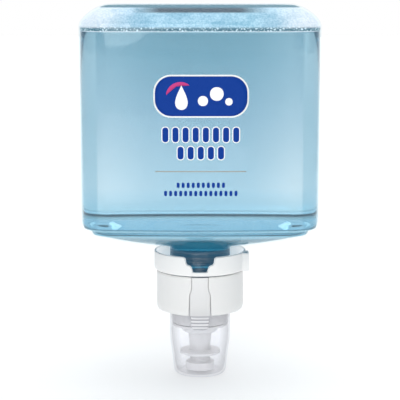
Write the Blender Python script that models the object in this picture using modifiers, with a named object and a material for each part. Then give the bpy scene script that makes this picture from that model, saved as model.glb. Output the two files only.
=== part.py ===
"""Inverted hand soap refill pack: a clear bottle of liquid over a white collar and a foam pump.

It stands neck down on its clear dust cap, as it goes into a wall dispenser. Metres, +Z up, and the
floor is z = 0. The front of the pack faces -Y. Every turned piece lies on the Z axis.
"""

import math

import bmesh
import bpy
from mathutils import Matrix, Vector

MM = 0.001
GAP = 0.3

# Bottle, in millimetres
WIDTH = 130.0
DEPTH = 88.0
TOP = 204.0
CORNER_RADIUS = 16.0
FRONT_RADIUS = 560.0
SIDE_RADIUS = 170.0
WALL = 0.8
HEEL_START = 193.2
RIM_START = 88.6
DOME_EDGE = 82.5
DOME_INSET = 5.2
DOME_END = 72.0
NECK_RADIUS = 18.4
NECK_BORE = 16.8
NECK_RIM = 46.4
BEAD_RADIUS = 20.8
BEAD_BOTTOM = 67.0
BEAD_TOP = 69.0

# Contents
LIQUID_LEVEL = 190.0
FOAM_TOP = 202.6

# Lock ring and collar
RING_RADIUS = 25.2
RING_BOTTOM = 58.9
RING_TOP = 69.5
RING_WALL = 1.7
KEY_END = 26.7
KEY_FRONT = -9.8
KEY_WIDTH = 8.0
COLLAR_RADIUS = 23.9
COLLAR_TOP = 58.5
COLLAR_BOTTOM = 37.0
COLLAR_WEB = 42.8
TAB_TOP = 56.4
TAB_END = 28.4
TAB_HALF_WIDTH = 4.45
TAB_WIDE_HALF = 5.6
TAB_PIVOT = 55.6
TAB_PIVOT_REACH = 23.1

# Pump
CHAMBER_RADIUS = 15.4
CHAMBER_BORE = 14.1
CYLINDER_RADIUS = 8.0
CYLINDER_BORE = 6.5
CYLINDER_TOP = 59.8
FLANGE_BOTTOM = 43.1
FLANGE_TOP = 44.6
BASE_PLATE = 27.5
BOSS_RADIUS = 10.0
BOSS_BOTTOM = 23.4
STEM_RADIUS = 6.4
STEM_BORE = 4.4
STEM_TOP = 36.2
DRIVE_RADIUS = 11.2
DRIVE_BOTTOM = 11.2
DRIVE_TOP = 12.8
TIP_RADIUS = 7.9
TIP_BOTTOM = 2.2
TIP_TOP = 6.4

# Dust cap
CAP_RADIUS = 16.8
CAP_BASE_RADIUS = 14.3
CAP_RIM = 40.8
CAP_WALL = 0.95
CAP_FLOOR = 1.2

FINE_STEPS = 56
STEPS = 40
SMALL_STEPS = 24
SIDE_SEGMENTS = 3
CORNER_SEGMENTS = 7
FRONT_SEGMENTS = 5

COLOURS = {
    "clear_pet": ((0.86, 0.94, 0.97, 0.35), 0.05),
    "soap_liquid": ((0.34, 0.66, 0.78, 0.75), 0.08),
    "soap_foam": ((0.80, 0.91, 0.97, 0.95), 0.6),
    "white_pp": ((0.90, 0.90, 0.90, 1.0), 0.35),
    "natural_pp": ((0.86, 0.87, 0.88, 0.8), 0.3),
    "clear_pp": ((0.88, 0.90, 0.91, 0.35), 0.15),
    "soft_seal": ((0.70, 0.72, 0.74, 1.0), 0.6),
    "steel_ball": ((0.62, 0.63, 0.65, 1.0), 0.2),
}


def clear_scene():
    for item in list(bpy.data.objects):
        bpy.data.objects.remove(item, do_unlink=True)


def make_materials():
    made = {}
    for name, (colour, roughness) in COLOURS.items():
        material = bpy.data.materials.new(name)
        material.use_nodes = True
        shader = material.node_tree.nodes["Principled BSDF"]
        shader.inputs["Base Color"].default_value = colour[:3] + (1.0,)
        shader.inputs["Alpha"].default_value = colour[3]
        shader.inputs["Roughness"].default_value = roughness
        shader.inputs["Metallic"].default_value = 1.0 if name == "steel_ball" else 0.0
        made[name] = material
    return made


clear_scene()
MATERIALS = make_materials()
CUTTERS = bpy.data.collections.new("cutters")
bpy.context.scene.collection.children.link(CUTTERS)


def add_object(name, data, material=None):
    """A piece with its material, or a hidden cutter where no material is given."""
    item = bpy.data.objects.new(name, data)
    if material:
        item.data.materials.append(MATERIALS[material])
        bpy.context.scene.collection.objects.link(item)
        return item
    CUTTERS.objects.link(item)
    item.hide_render = True
    item.display_type = "WIRE"
    return item


def to_mesh(name, bm):
    bmesh.ops.recalc_face_normals(bm, faces=bm.faces)
    mesh = bpy.data.meshes.new(name)
    bm.to_mesh(mesh)
    bm.free()
    return mesh


def turned(name, outline, material=None, steps=STEPS, closed=True):
    """Turn an outline of (radius, height) in mm round Z: down its outer side, then up its inner side."""
    bm = bmesh.new()
    points = [bm.verts.new((radius * MM, 0.0, height * MM)) for radius, height in outline]
    for first, second in zip(points, points[1:]):
        bm.edges.new((first, second))
    if closed:
        bm.edges.new((points[-1], points[0]))
    mesh = bpy.data.meshes.new(name)
    bm.to_mesh(mesh)
    bm.free()
    item = add_object(name, mesh, material)
    screw = item.modifiers.new("turn", "SCREW")
    screw.axis = "Z"
    screw.steps = steps
    screw.render_steps = steps
    screw.use_merge_vertices = True
    screw.merge_threshold = 0.00001
    return item


def boolean(target, cutter, operation="DIFFERENCE"):
    step = target.modifiers.new(operation.lower(), "BOOLEAN")
    step.operation = operation
    step.solver = "EXACT"
    step.object = cutter


def hang_on_pivot(piece, name, place):
    """Put a moving piece under an empty that stands on its joint's axis."""
    pivot = bpy.data.objects.new(name, None)
    pivot.empty_display_size = 5 * MM
    pivot.location = place
    bpy.context.scene.collection.objects.link(pivot)
    piece.parent = pivot
    piece.location = -place


def cylinder(name, radius, bottom, top, place=(0.0, 0.0), steps=SMALL_STEPS):
    bm = bmesh.new()
    bmesh.ops.create_cone(
        bm, cap_ends=True, segments=steps, radius1=radius * MM, radius2=radius * MM,
        depth=(top - bottom) * MM,
    )
    centre = Vector((place[0], place[1], (top + bottom) / 2)) * MM
    bmesh.ops.translate(bm, verts=bm.verts, vec=centre)
    return add_object(name, to_mesh(name, bm))


def block(name, low, high):
    bm = bmesh.new()
    size = [(b - a) * MM for a, b in zip(low, high)]
    centre = [(a + b) / 2 * MM for a, b in zip(low, high)]
    bmesh.ops.create_cube(bm, size=1.0, matrix=Matrix.Translation(centre) @ Matrix.Diagonal((*size, 1.0)))
    return add_object(name, to_mesh(name, bm))


def front_prism(name, outline, near=-30.0, far=-12.0):
    """A flat outline of (x, z) in mm, seen from the front, filled and extruded along Y."""
    curve = bpy.data.curves.new(name, "CURVE")
    curve.dimensions = "2D"
    curve.fill_mode = "BOTH"
    curve.extrude = (far - near) / 2 * MM
    spline = curve.splines.new("POLY")
    spline.points.add(len(outline) - 1)
    for point, (x, z) in zip(spline.points, outline):
        point.co = (x * MM, z * MM, 0.0, 1.0)
    spline.use_cyclic_u = True
    shape = bpy.data.objects.new(name, curve)
    bm = bmesh.new()
    bm.from_mesh(shape.to_mesh())
    bpy.data.objects.remove(shape)
    bmesh.ops.remove_doubles(bm, verts=bm.verts, dist=0.00001)
    upright = Matrix.Rotation(math.radians(90), 4, "X")
    bmesh.ops.transform(bm, matrix=upright, verts=bm.verts)
    bmesh.ops.translate(bm, verts=bm.verts, vec=(0.0, (near + far) / 2 * MM, 0.0))
    return add_object(name, to_mesh(name, bm))


def mirrored(half):
    """The whole outline from its +X half, which is listed from one end to the other."""
    return half + [(-x, z) for x, z in reversed(half)]


def corner_centre():
    """Centre of the plan's corner arc, which is tangent inside the side arc and the front arc."""
    side = Vector((WIDTH / 2 - SIDE_RADIUS, 0.0))
    front = Vector((0.0, DEPTH / 2 - FRONT_RADIUS))
    side_reach = SIDE_RADIUS - CORNER_RADIUS
    front_reach = FRONT_RADIUS - CORNER_RADIUS
    apart = (front - side).length
    along = (side_reach**2 - front_reach**2 + apart**2) / (2 * apart)
    across = math.sqrt(side_reach**2 - along**2)
    line = (front - side) / apart
    return side + line * along + Vector((-line.y, line.x)) * across


def plan_outline(inset):
    """The bottle's plan at an inset in mm: three arcs a quarter, anticlockwise from +X."""
    centre = corner_centre()
    side_centre = Vector((WIDTH / 2 - SIDE_RADIUS, 0.0))
    front_centre = Vector((0.0, DEPTH / 2 - FRONT_RADIUS))
    side_end = math.atan2(centre.y, centre.x - side_centre.x)
    front_start = math.atan2(centre.y - front_centre.y, centre.x)
    arcs = (
        (side_centre, SIDE_RADIUS, 0.0, side_end, SIDE_SEGMENTS),
        (centre, CORNER_RADIUS, side_end, front_start, CORNER_SEGMENTS),
        (front_centre, FRONT_RADIUS, front_start, math.pi / 2, FRONT_SEGMENTS),
    )
    quarter = []
    for middle, radius, start, end, count in arcs:
        for step in range(count):
            angle = start + (end - start) * step / count
            quarter.append(middle + Vector((math.cos(angle), math.sin(angle))) * (radius - inset))
    peak = Vector((0.0, DEPTH / 2 - inset))
    half = quarter + [peak] + [Vector((-p.x, p.y)) for p in reversed(quarter[1:])]
    return half + [-p for p in half]


def ring_points(height, inset, blend):
    """One ring of the bottle: its plan at an inset, blended towards the neck's circle."""
    points = []
    for p in plan_outline(inset):
        flat = p.lerp(p.normalized() * NECK_RADIUS, blend)
        points.append(Vector((flat.x, flat.y, height)) * MM)
    return points


def lofted(name, rings, material=None):
    """A closed solid through rings of (height, inset, blend), wrapped from a flat grid."""
    around = len(plan_outline(0.0))
    bm = bmesh.new()
    made = bmesh.ops.create_grid(bm, x_segments=around, y_segments=len(rings) - 1, size=0.5)
    placed = [ring_points(*ring) for ring in rings]
    for vert in made["verts"]:
        column = round((vert.co.x + 0.5) * around) % around
        row = round((vert.co.y + 0.5) * (len(rings) - 1))
        vert.co = placed[row][column]
    bmesh.ops.remove_doubles(bm, verts=bm.verts, dist=0.000001)
    bmesh.ops.holes_fill(bm, edges=[edge for edge in bm.edges if edge.is_boundary])
    return add_object(name, to_mesh(name, bm), material)


def body_rings():
    """The bottle's outside from its base, on top, down its wall and shallow dome to the neck."""
    heel = [
        (TOP, 14.6, 0.0), (203.5, 12.0, 0.0), (202.3, 9.4, 0.0), (195.2, 0.5, 0.0), (HEEL_START, 0.0, 0.0),
    ]
    rim = [(RIM_START, 0.0, 0.0), (87.0, 0.6, 0.0), (86.0, 2.0, 0.0), (85.4, 3.8, 0.0)]
    dome = [
        (DOME_END + (DOME_EDGE - DOME_END) * (1 - blend) ** 1.1, DOME_INSET, blend)
        for blend in (0.0, 0.2, 0.45, 0.7, 0.9)
    ]
    return heel + rim + dome


def lining(gap):
    """The body's rings moved inwards by a gap: across the wall, and upwards under the dome."""
    rings = body_rings()
    moved = []
    for number, (height, inset, blend) in enumerate(rings):
        before = rings[max(number - 1, 0)]
        after = rings[min(number + 1, len(rings) - 1)]
        run = Vector((after[1] - before[1], after[0] - before[0])).normalized()
        if blend or height == DOME_EDGE:
            moved.append((height + gap, inset + gap * 0.5, blend))
        else:
            moved.append((height + run.x * gap, inset - run.y * gap, blend))
    return moved


def between(rings, low, high):
    """The rings that lie from one height to another, with a ring made at each end."""
    kept = []
    for upper, lower in zip(rings, rings[1:]):
        for level in (high, low):
            if lower[0] < level < upper[0]:
                share = (upper[0] - level) / (upper[0] - lower[0])
                inset = upper[1] + (lower[1] - upper[1]) * share
                kept.append((level, inset, upper[2] + (lower[2] - upper[2]) * share))
        if low < lower[0] < high:
            kept.append(lower)
    return kept


def make_bottle():
    """Blown PET bottle, upside down, with a chamfered heel on top and an open neck below."""
    bottle = lofted("bottle", body_rings(), "clear_pet")
    neck = turned("neck_outside", [
        (0.0, 76.0), (NECK_RADIUS, 76.0), (NECK_RADIUS, BEAD_TOP), (BEAD_RADIUS, BEAD_TOP),
        (BEAD_RADIUS, BEAD_BOTTOM), (NECK_RADIUS, BEAD_BOTTOM), (NECK_RADIUS, NECK_RIM), (0.0, NECK_RIM),
    ], closed=False, steps=STEPS)
    boolean(bottle, neck, "UNION")
    boolean(bottle, lofted("bottle_inside", lining(WALL)))
    boolean(bottle, cylinder("neck_bore", NECK_BORE, NECK_RIM - 4, 78.0, steps=STEPS))


def make_contents():
    """The soap up to its level, with a pocket for the pump, and the froth that floats on it."""
    inside = lining(WALL + GAP)
    soap = lofted("soap_liquid", between(inside, DOME_END, LIQUID_LEVEL), "soap_liquid")
    boolean(soap, cylinder("soap_neck", NECK_BORE - GAP, 46.8, 80.0, steps=STEPS), "UNION")
    boolean(soap, cylinder("pump_pocket", CYLINDER_RADIUS + GAP, 40.0, CYLINDER_TOP + 1.9, steps=STEPS))
    lofted("soap_foam", between(inside, LIQUID_LEVEL + GAP, FOAM_TOP), "soap_foam")


def make_neck_gasket():
    turned("neck_gasket", [
        (NECK_BORE + 0.1, 46.1), (NECK_RADIUS + 1.0, 46.1), (NECK_RADIUS + 1.0, 44.9),
        (NECK_BORE + 0.1, 44.9),
    ], "soft_seal")


def make_lock_ring():
    """White ring round the neck, notched in front, with a key for the dispenser on its right side."""
    ring = turned("lock_ring", [
        (0.0, RING_TOP), (RING_RADIUS - 0.5, RING_TOP), (RING_RADIUS, RING_TOP - 0.6),
        (RING_RADIUS, RING_BOTTOM + 1.9), (RING_RADIUS - 0.5, RING_BOTTOM + 0.9),
        (RING_RADIUS - 1.9, RING_BOTTOM), (0.0, RING_BOTTOM),
    ], "white_pp", closed=False, steps=FINE_STEPS)
    key = block("key", (18.0, KEY_FRONT, RING_BOTTOM + 0.4), (KEY_END, KEY_FRONT + KEY_WIDTH, RING_TOP - 0.2))
    boolean(ring, key, "UNION")
    bore = RING_RADIUS - RING_WALL
    boolean(ring, cylinder("ring_hollow", bore, RING_BOTTOM + 1.7, RING_TOP + 5, steps=FINE_STEPS))
    boolean(ring, cylinder("ring_bore", NECK_RADIUS + 0.4, RING_BOTTOM - 5, RING_TOP, steps=STEPS))
    notch = mirrored([
        (8.4, RING_TOP + 3), (8.0, 66.6), (7.2, 65.4), (5.6, 65.0), (4.8, 64.2), (4.0, 61.9), (3.4, 61.5),
    ])
    boolean(ring, front_prism("ring_notch", notch))


def tab_outline(margin):
    """Front view of the release tab, grown by a margin where it passes through the collar."""
    narrow = TAB_HALF_WIDTH + margin
    wide = TAB_WIDE_HALF + margin
    return mirrored([
        (narrow, TAB_TOP + margin), (narrow, 52.5), (wide, 48.0), (wide, COLLAR_BOTTOM),
        (4.9 + margin, COLLAR_BOTTOM - 0.6), (4.5 + margin, 31.0), (3.2, TAB_END - margin),
    ])


def make_collar():
    """White screw collar: outer wall, threaded inner sleeve and the web that lifts the pump."""
    inner = COLLAR_RADIUS - 1.7
    sleeve = NECK_RADIUS + 1.8
    collar = turned("collar", [
        (inner, COLLAR_TOP - 0.2), (COLLAR_RADIUS - 1.1, COLLAR_TOP), (COLLAR_RADIUS, COLLAR_TOP - 1.3),
        (COLLAR_RADIUS, COLLAR_BOTTOM + 3.2), (COLLAR_RADIUS - 0.4, COLLAR_BOTTOM + 1.3),
        (COLLAR_RADIUS - 1.3, COLLAR_BOTTOM), (inner - 0.4, COLLAR_BOTTOM), (inner, COLLAR_WEB - 1.6),
        (CHAMBER_RADIUS + 0.5, COLLAR_WEB - 1.6), (CHAMBER_RADIUS + 0.5, COLLAR_WEB), (sleeve, COLLAR_WEB),
        (sleeve, COLLAR_TOP - 0.6), (sleeve + 0.9, COLLAR_TOP - 0.6), (sleeve + 0.9, COLLAR_WEB),
        (inner, COLLAR_WEB),
    ], "white_pp", steps=FINE_STEPS)
    boolean(collar, front_prism("tab_slot", tab_outline(0.45), far=-21.2))
    relief = mirrored([(TAB_WIDE_HALF + 0.45, COLLAR_WEB + 0.4), (TAB_WIDE_HALF + 0.45, COLLAR_BOTTOM - 2)])
    boolean(collar, front_prism("tab_relief", relief, far=-19.5))


def make_release_tab():
    """Springy tongue in the collar's front slot; its ribbed end hangs below the collar."""
    face = COLLAR_RADIUS - 0.1
    back = face - 1.5
    ribs = []
    for number in range(4):
        height = COLLAR_BOTTOM - 0.5 - 1.9 * number
        lean = 0.12 * number**2
        ribs += [
            (face - 0.5 - lean, height + 0.75), (face + 0.5 - lean, height + 0.3),
            (face + 0.4 - lean, height - 0.4),
        ]
    tongue = turned("release_tab", [
        (back, TAB_TOP), (face, TAB_TOP), (face, COLLAR_BOTTOM + 0.9), *ribs,
        (face - 1.6, 29.6), (face - 2.8, TAB_END), (face - 3.9, TAB_END + 0.5), (back - 1.1, 31.4),
        (back, 35.0),
    ], "white_pp", steps=2 * FINE_STEPS)
    boolean(tongue, front_prism("tab_shape", tab_outline(0.0)), "INTERSECT")
    hang_on_pivot(tongue, "tab_pivot", Vector((0.0, -TAB_PIVOT_REACH, TAB_PIVOT)) * MM)


def make_pump_housing():
    """Moulded housing: air chamber below, liquid cylinder above, flange clamped under the neck."""
    housing = turned("pump_housing", [
        (1.7, CYLINDER_TOP), (CYLINDER_RADIUS - 0.4, CYLINDER_TOP), (CYLINDER_RADIUS, CYLINDER_TOP - 0.4),
        (CYLINDER_RADIUS, 46.4), (15.6, FLANGE_TOP), (NECK_RADIUS + 1.2, FLANGE_TOP),
        (NECK_RADIUS + 1.2, FLANGE_BOTTOM), (CHAMBER_RADIUS, FLANGE_BOTTOM), (CHAMBER_RADIUS, 29.2),
        (CHAMBER_BORE, 29.2), (CHAMBER_BORE, 42.6), (13.2, 43.3), (CYLINDER_BORE, 44.9),
        (CYLINDER_BORE, CYLINDER_TOP - 1.5), (1.7, CYLINDER_TOP - 1.5),
    ], "natural_pp")
    for number in range(6):
        angle = math.radians(60 * number)
        place = (4.0 * math.cos(angle), 4.0 * math.sin(angle))
        boolean(housing, cylinder(f"inlet_hole_{number}", 0.9, 57.0, 61.0, place, steps=8))


def make_housing_base():
    """Plate and boss that close the air chamber and guide the stem."""
    turned("housing_base", [
        (12.5, 31.0), (13.7, 31.0), (13.7, 28.9), (CHAMBER_RADIUS, 28.9), (CHAMBER_RADIUS, BASE_PLATE),
        (BOSS_RADIUS, BASE_PLATE), (BOSS_RADIUS, BOSS_BOTTOM + 1.3), (BOSS_RADIUS - 0.7, BOSS_BOTTOM + 0.3),
        (BOSS_RADIUS - 1.6, BOSS_BOTTOM), (STEM_RADIUS + 0.5, BOSS_BOTTOM), (STEM_RADIUS + 0.5, 28.9),
        (12.5, 28.9),
    ], "natural_pp")


def make_inlet_valve():
    """Umbrella valve under the cylinder's holes, held by the bulb above them."""
    turned("inlet_valve", [
        (0.0, 61.2), (1.3, 61.0), (2.1, 60.4), (2.1, 60.1), (1.4, 60.1), (1.4, 58.0), (5.0, 57.9),
        (5.2, 57.5), (3.0, 57.3), (0.0, 57.3),
    ], "soft_seal", closed=False, steps=SMALL_STEPS)


def make_liquid_piston():
    """Hollow rod above the stem, with a seat for the outlet ball and a groove for the seal."""
    turned("liquid_piston", [
        (1.2, 49.0), (3.6, 49.0), (3.6, 46.0), (5.6, 46.0), (5.6, 44.6), (5.0, 44.2), (5.0, 37.6),
        (STEM_RADIUS, 37.6), (STEM_RADIUS, STEM_TOP + GAP), (3.9, STEM_TOP + GAP), (3.9, 35.6), (2.0, 35.6),
        (2.0, 42.0), (1.2, 43.0),
    ], "natural_pp", steps=SMALL_STEPS)
    turned("piston_seal", [
        (3.9, 48.9), (4.7, 48.9), (5.1, 47.9), (5.5, 48.9), (6.25, 48.9), (6.25, 46.3), (3.9, 46.3),
    ], "soft_seal", steps=SMALL_STEPS)
    bm = bmesh.new()
    bmesh.ops.create_uvsphere(bm, u_segments=16, v_segments=10, radius=1.6 * MM)
    ball = add_object("outlet_ball", to_mesh("outlet_ball", bm), "steel_ball")
    ball.location = (0.0, 0.0, 40.8 * MM)


def make_air_piston():
    """Wide piston on the stem with a lip on the air chamber, and the flap ring that feeds it air."""
    hub = STEM_RADIUS + GAP
    turned("air_piston", [
        (hub, 35.4), (8.0, 35.4), (8.0, 33.2), (12.3, 33.2), (12.9, 34.0), (13.8, 34.2), (13.8, 31.4),
        (12.9, 31.6), (12.3, 32.0), (hub, 32.0),
    ], "natural_pp")
    turned("air_valve", [
        (8.4, 34.2), (10.6, 33.9), (11.6, 33.7), (11.6, 33.5), (8.4, 33.5),
    ], "soft_seal", steps=SMALL_STEPS)


def make_drive_stem():
    """Tube pushed up by the dispenser through the wide flange near its lower end."""
    turned("drive_stem", [
        (STEM_BORE, STEM_TOP), (STEM_RADIUS, STEM_TOP), (STEM_RADIUS, 22.0), (5.8, 16.0),
        (5.8, DRIVE_TOP + 0.4), (6.3, DRIVE_TOP), (DRIVE_RADIUS - 0.3, DRIVE_TOP),
        (DRIVE_RADIUS, DRIVE_TOP - 0.4), (DRIVE_RADIUS, DRIVE_BOTTOM), (5.9, DRIVE_BOTTOM),
        (5.9, DRIVE_BOTTOM + 0.5), (4.6, DRIVE_BOTTOM + 0.5), (4.6, 4.6), (3.4, 4.6), (3.4, 12.0),
        (STEM_BORE, 12.0),
    ], "natural_pp")


def make_foaming_parts():
    """Mixing insert, and the cartridge whose two screens turn the mix into foam."""
    fit = STEM_BORE - GAP
    turned("mixing_insert", [
        (1.2, 35.2), (2.2, 35.2), (fit, 33.4), (fit, 29.0), (3.0, 29.0), (3.0, 31.0), (1.2, 32.0),
    ], "natural_pp", steps=SMALL_STEPS)
    turned("foam_cartridge", [
        (3.2, 28.0), (fit, 28.0), (fit, 13.1), (3.2, 13.1),
    ], "natural_pp", steps=SMALL_STEPS)
    for name, height in (("upper_screen", 28.3), ("lower_screen", 12.4)):
        turned(name, [
            (0.0, height + 0.4), (fit, height + 0.4), (fit, height), (0.0, height),
        ], "soft_seal", closed=False, steps=SMALL_STEPS)


def make_nozzle_tip():
    """Outlet pressed over the stem's end, with a narrow waist under the drive flange."""
    turned("nozzle_tip", [
        (4.9, 11.4), (5.6, 11.4), (5.6, TIP_TOP + 0.3), (6.0, TIP_TOP), (TIP_RADIUS - 0.7, TIP_TOP),
        (TIP_RADIUS, TIP_TOP - 0.7), (TIP_RADIUS, TIP_BOTTOM + 0.3), (TIP_RADIUS - 0.4, TIP_BOTTOM),
        (TIP_RADIUS - 1.2, TIP_BOTTOM), (TIP_RADIUS - 1.4, TIP_BOTTOM + 1.6), (4.8, TIP_BOTTOM + 1.6),
        (4.5, TIP_BOTTOM), (3.3, TIP_BOTTOM), (3.3, 4.3), (4.9, 4.3),
    ], "natural_pp")


def make_dust_cap():
    """Clear cup pushed over the pump; the pack stands on its flat base."""
    outside = [
        (CAP_RADIUS, CAP_RIM), (CAP_RADIUS, 22.0), (CAP_RADIUS - 0.4, 18.0), (15.5, 12.0),
        (CAP_BASE_RADIUS + 0.3, 4.0), (CAP_BASE_RADIUS, 1.6), (CAP_BASE_RADIUS - 0.6, 0.4),
        (CAP_BASE_RADIUS - 1.4, 0.0), (0.0, 0.0),
    ]
    inside = [
        (0.0, CAP_FLOOR + 0.5), (3.0, CAP_FLOOR), (CAP_BASE_RADIUS - 1.7, CAP_FLOOR),
        (CAP_BASE_RADIUS + 0.3 - CAP_WALL, 4.0), (15.5 - CAP_WALL, 12.0),
        (CAP_RADIUS - 0.4 - CAP_WALL, 18.0), (CAP_RADIUS - CAP_WALL, 22.0), (CAP_RADIUS - CAP_WALL, CAP_RIM),
    ]
    turned("dust_cap", [*outside, *inside, outside[0]], "clear_pp", closed=False, steps=FINE_STEPS)


def make_part():
    make_bottle()
    make_contents()
    make_neck_gasket()
    make_lock_ring()
    make_collar()
    make_release_tab()
    make_pump_housing()
    make_housing_base()
    make_inlet_valve()
    make_liquid_piston()
    make_air_piston()
    make_drive_stem()
    make_foaming_parts()
    make_nozzle_tip()
    make_dust_cap()


make_part()
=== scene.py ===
"""Looks of the hand soap refill pack: clear bottle, blue soap with its froth, white collar, pump and cap."""

import math

import bpy
import numpy as np
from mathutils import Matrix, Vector


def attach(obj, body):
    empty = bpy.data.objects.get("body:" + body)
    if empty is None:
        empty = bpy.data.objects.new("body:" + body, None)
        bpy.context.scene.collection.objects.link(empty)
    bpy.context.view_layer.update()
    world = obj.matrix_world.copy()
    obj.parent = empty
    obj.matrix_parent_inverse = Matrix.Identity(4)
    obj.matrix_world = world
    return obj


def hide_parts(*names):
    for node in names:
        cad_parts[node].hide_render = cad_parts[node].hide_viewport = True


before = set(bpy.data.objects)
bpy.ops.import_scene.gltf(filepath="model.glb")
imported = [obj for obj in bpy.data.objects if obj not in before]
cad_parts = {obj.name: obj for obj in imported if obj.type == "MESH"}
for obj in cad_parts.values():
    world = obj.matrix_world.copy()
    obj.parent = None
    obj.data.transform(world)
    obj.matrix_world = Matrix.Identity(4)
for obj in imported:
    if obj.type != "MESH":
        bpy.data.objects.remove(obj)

MM = 0.001

# Camera: distance to the pack's axis, downward tilt and focal length on a 36 mm wide sensor
CAMERA_DISTANCE = 0.74
CAMERA_TILT = 8.7
CAMERA_LENS = 121.1
CAMERA_AIM = 97.1

# Bottle, in millimetres: the film is the gap between its wall and the soap
WALL = 0.6
FILM = 0.1
WIDTH = 130.0
DEPTH = 87.9
CORNER_RADIUS = 16.0
FRONT_RADIUS = 560.0
SIDE_RADIUS = 170.0
NECK_RADIUS = 18.4
NECK_BORE = 16.8
NECK_INSET = 5.6
BEAD_RADIUS = 20.8
LIQUID_LEVEL = 190.0

# Lock ring, collar and release tab, in millimetres
RING_RADIUS = 25.2
COLLAR_RADIUS = 23.9
TAB_ROOT = 58.5
TAB_FOOT = 29.3
RIBS = 4
RIB_TOP = 36.9
RIB_PITCH = 1.9


# ---------------------------------------------------------------- shapes

def smooth_corners(points, radius, steps=6, closed=False):
    """Round an outline: at each corner C with neighbours A and B, cut back by the radius (or 45% of
    the shorter side) to P and Q, then follow the quadratic curve (1-t)^2 P + 2t(1-t) C + t^2 Q. An open
    outline keeps its two end points."""
    points = np.asarray(points, float)
    before = np.roll(points, 1, axis=0)
    after = np.roll(points, -1, axis=0)
    to_before = before - points
    to_after = after - points
    before_length = np.linalg.norm(to_before, axis=1)
    after_length = np.linalg.norm(to_after, axis=1)
    reach = np.minimum(np.minimum(before_length, after_length) * 0.45, np.broadcast_to(radius, len(points)))
    start = points + to_before / before_length[:, None] * reach[:, None]
    end = points + to_after / after_length[:, None] * reach[:, None]
    t = np.linspace(0, 1, steps)[None, :, None]
    curve = (1 - t) ** 2 * start[:, None] + 2 * t * (1 - t) * points[:, None] + t**2 * end[:, None]
    if closed:
        return curve.reshape(-1, points.shape[1])
    inner = curve[1:-1].reshape(-1, points.shape[1])
    return np.vstack([points[:1], inner, points[-1:]])


def skin(name, patches, material):
    """One mesh from grids of points, each (n, m, 3) with its closing: rows run down the outer side and
    columns anticlockwise. Faces join neighbouring rows and columns, "wrap" joins the last column to the
    first and "loop" the last row to the first. "ends" closes both ends by a fan on the row's mean point,
    and "slot" closes an open ring's two cut faces, whose inner rows mirror its outer rows."""
    points, quads, triangles, start = [], [], [], 0
    for rows, closing in patches:
        count, around = rows.shape[:2]
        index = start + np.arange(count * around).reshape(count, around)
        right = np.roll(index, -1, axis=1) if "wrap" in closing else index[:, 1:]
        left = index if "wrap" in closing else index[:, :-1]
        above = np.arange(count if "loop" in closing else count - 1)
        below = (above + 1) % count
        quads.append(np.stack([left[above], left[below], right[below], right[above]], axis=-1).reshape(-1, 4))
        points.append(rows.reshape(-1, 3))
        start += count * around
        if "ends" in closing:
            points.append(rows[[0, -1]].mean(axis=1))
            for row, beside, hub in ((index[0], right[0], start), (right[-1], index[-1], start + 1)):
                triangles.append(np.stack([row, beside, np.full(around, hub)], axis=-1))
            start += 2
        if "slot" in closing:
            outer = np.arange(count // 2 - 1)
            inner = count - 1 - outer
            for column, order in ((index[:, 0], (0, 3, 2, 1)), (index[:, -1], (0, 1, 2, 3))):
                corners = [column[outer], column[outer + 1], column[inner - 1], column[inner]]
                quads.append(np.stack([corners[place] for place in order], axis=-1))
    faces = [*map(tuple, np.concatenate(quads).tolist())]
    faces += [tuple(face) for group in triangles for face in group.tolist()]
    mesh = bpy.data.meshes.new(name)
    mesh.from_pydata(np.concatenate(points) * MM, [], faces)
    mesh.polygons.foreach_set("use_smooth", np.full(len(mesh.polygons), True))
    mesh.materials.append(material)
    item = bpy.data.objects.new(name, mesh)
    bpy.context.scene.collection.objects.link(item)
    return item


def turned_rows(outline, steps=160):
    """Every (radius, height) of the outline carried round Z: x = r cos a, y = r sin a."""
    angle = np.linspace(0, 2 * math.pi, steps, endpoint=False)
    radius = outline[:, 0, None]
    height = np.broadcast_to(outline[:, 1, None], (len(outline), steps))
    return np.stack([radius * np.cos(angle), radius * np.sin(angle), height], axis=-1)


def turned_ring(outline, radius=0.3, steps=200):
    """A ring whose closed outline runs down its outer side and up its inner side."""
    return turned_rows(smooth_corners(outline, radius, closed=True), steps), ("wrap", "loop")


def ease(value, low, high):
    """0 below low and 1 above high, with the smooth step t^2 (3 - 2t) between them."""
    t = np.clip((np.asarray(value, float) - low) / (high - low), 0, 1)
    return t * t * (3 - 2 * t)


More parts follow.
